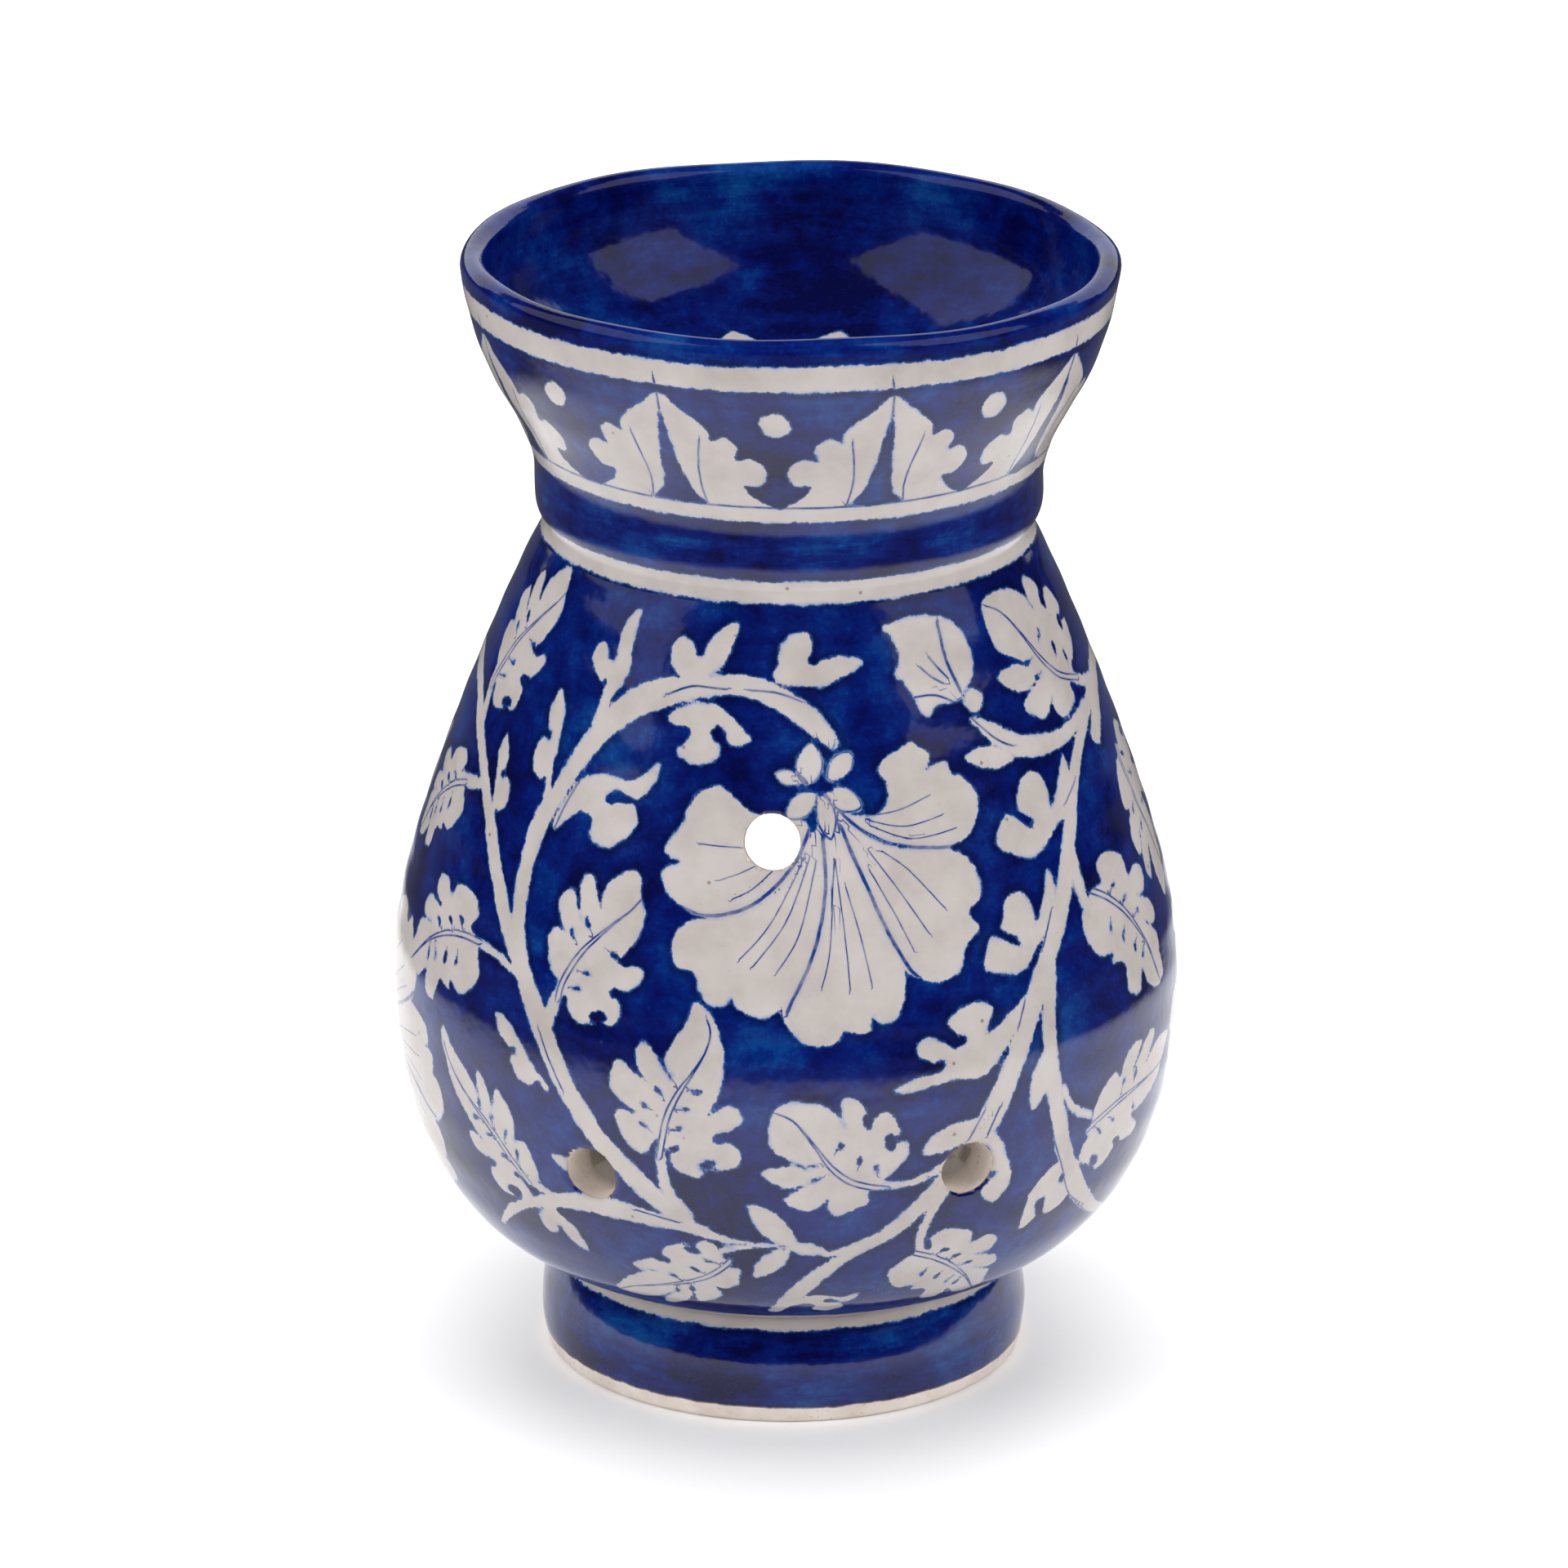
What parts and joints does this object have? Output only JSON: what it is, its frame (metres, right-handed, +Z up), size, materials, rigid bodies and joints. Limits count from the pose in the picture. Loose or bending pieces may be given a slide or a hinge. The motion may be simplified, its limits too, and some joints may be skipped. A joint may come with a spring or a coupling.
{
  "type": "pottery oil burner",
  "caption": "Vase-shaped glazed pottery oil burner: a shallow bowl over a round candle chamber with air holes and an arched door, and a tealight that slides out.",
  "frame": {"origin": "middle of the foot's underside, on the pot's turning axis", "axes": "+Z up along the turning axis; -Y is the front with three air holes; +Y is the back with the candle door"},
  "size_m": [0.1, 0.0988, 0.145],
  "materials": {
    "foot_glaze": "gloss cobalt glaze over a bare clay edge",
    "belly_glaze": "gloss clear glaze over cobalt ground and off-white slip reserve",
    "collar_glaze": "gloss clear glaze over cobalt band and off-white slip",
    "bowl_glaze": "gloss cobalt glaze with off-white leaf frieze",
    "luting_slip": "matt fired slip",
    "cup_aluminium": "drawn foil, satin",
    "candle_wax": "satin paraffin wax",
    "cotton_wick": "waxed cotton braid",
    "sustainer_steel": "tinned sheet"
  },
  "bodies": {
    "pot": {"foot_ring": "foot_glaze", "belly_lower": "belly_glaze", "belly_upper": "belly_glaze", "neck_collar": "collar_glaze", "oil_bowl": "bowl_glaze", "slip_seam_foot": "luting_slip", "slip_seam_waist": "luting_slip", "slip_seam_shoulder": "luting_slip", "slip_seam_bowl": "luting_slip"},
    "tealight": {"tealight_cup": "cup_aluminium", "tealight_wax": "candle_wax", "tealight_wick": "cotton_wick", "wick_sustainer": "sustainer_steel"}
  },
  "joints": [
    {"name": "tealight_slide", "type": "slide", "parent": "pot", "child": "tealight", "axis": [0, 1, 0], "range_m": [0, 0.08]}
  ]
}
